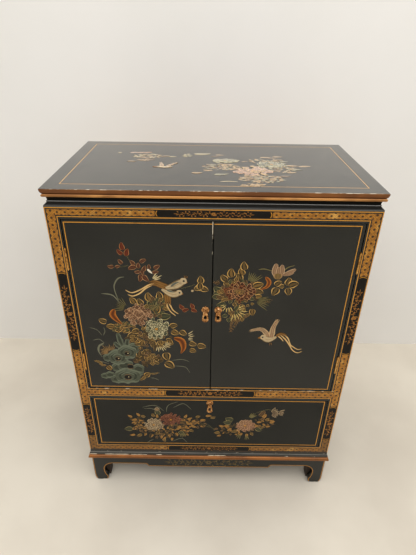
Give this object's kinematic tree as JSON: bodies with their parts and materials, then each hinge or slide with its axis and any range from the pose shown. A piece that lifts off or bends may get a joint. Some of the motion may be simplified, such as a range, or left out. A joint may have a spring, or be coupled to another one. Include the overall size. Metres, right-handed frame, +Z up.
{
  "type": "sideboard cabinet",
  "caption": "Upright lacquered cabinet on scrolled bracket feet: paired hinged doors above a wide drawer, moulded top and base, brass butt hinges and swinging drop pulls.",
  "frame": {"origin": "on the floor, under the centre of the whole cabinet's box, pulls included", "axes": "+Z up, the doors and drawer face -Y, +X to the right as seen from the front"},
  "size_m": [0.778, 0.448, 1.0219],
  "materials": {
    "black_lacquer": "gloss lacquer with painted and gilt ornament",
    "bronze_paint": "bronze paint over wood",
    "inner_paint": "satin black paint",
    "plain_wood": "bare sanded wood",
    "brass": "lacquered brass",
    "steel": "zinc plated"
  },
  "bodies": {
    "case": {"top_board": "black_lacquer", "neck_moulding_front": "black_lacquer", "neck_moulding_left": "black_lacquer", "neck_moulding_right": "black_lacquer", "neck_back_strip": "plain_wood", "left_stile": "black_lacquer", "right_stile": "black_lacquer", "top_rail": "black_lacquer", "middle_rail": "black_lacquer", "bottom_rail": "black_lacquer", "left_side": "black_lacquer", "right_side": "black_lacquer", "back_panel": "plain_wood", "cupboard_floor": "inner_paint", "bottom_board": "inner_paint", "shelf": "inner_paint", "left_shelf_cleat": "inner_paint", "right_shelf_cleat": "inner_paint", "left_drawer_runner": "plain_wood", "right_drawer_runner": "plain_wood", "base_moulding_front": "bronze_paint", "base_moulding_left": "bronze_paint", "base_moulding_right": "bronze_paint", "base_back_strip": "plain_wood", "front_apron": "black_lacquer", "left_apron": "black_lacquer", "right_apron": "black_lacquer", "back_apron": "plain_wood", "front_left_foot_block": "plain_wood", "front_right_foot_block": "plain_wood", "back_left_foot_block": "plain_wood", "back_right_foot_block": "plain_wood", "door_catch": "inner_paint", "left_lower_hinge_frame_leaf": "brass", "left_lower_hinge_pin": "brass", "left_upper_hinge_frame_leaf": "brass", "left_upper_hinge_pin": "brass", "right_lower_hinge_frame_leaf": "brass", "right_lower_hinge_pin": "brass", "right_upper_hinge_frame_leaf": "brass", "right_upper_hinge_pin": "brass"},
    "left_door": {"left_door": "black_lacquer", "left_catch_plate": "steel", "left_pull_plate": "brass", "left_lower_hinge_door_leaf": "brass", "left_upper_hinge_door_leaf": "brass"},
    "right_door": {"right_door": "black_lacquer", "right_catch_plate": "steel", "right_pull_plate": "brass", "right_lower_hinge_door_leaf": "brass", "right_upper_hinge_door_leaf": "brass"},
    "drawer": {"drawer_front": "black_lacquer", "drawer_left_side": "plain_wood", "drawer_right_side": "plain_wood", "drawer_back": "plain_wood", "drawer_bottom": "plain_wood", "drawer_pull_plate": "brass"},
    "left_pull": {"left_pull_drop": "brass"},
    "right_pull": {"right_pull_drop": "brass"},
    "drawer_pull": {"drawer_pull_drop": "brass"}
  },
  "joints": [
    {"name": "left_door_hinge", "type": "hinge", "parent": "case", "child": "left_door", "pos_m": [-0.3482, -0.21358, 0.6875], "axis": [0, 0, -1], "range_deg": [0, 175]},
    {"name": "right_door_hinge", "type": "hinge", "parent": "case", "child": "right_door", "pos_m": [0.3482, -0.21358, 0.6875], "axis": [0, 0, 1], "range_deg": [0, 175]},
    {"name": "drawer_slide", "type": "slide", "parent": "case", "child": "drawer", "axis": [0, -1, 0], "range_m": [0, 0.28]},
    {"name": "left_pull_swing", "type": "hinge", "parent": "left_door", "child": "left_pull", "pos_m": [-0.01648, -0.21935, 0.706], "axis": [-1, 0, 0], "range_deg": [0, 85]},
    {"name": "right_pull_swing", "type": "hinge", "parent": "right_door", "child": "right_pull", "pos_m": [0.01648, -0.21935, 0.706], "axis": [-1, 0, 0], "range_deg": [0, 85]},
    {"name": "drawer_pull_swing", "type": "hinge", "parent": "drawer", "child": "drawer_pull", "pos_m": [0, -0.21935, 0.3718], "axis": [-1, 0, 0], "range_deg": [0, 85]}
  ]
}
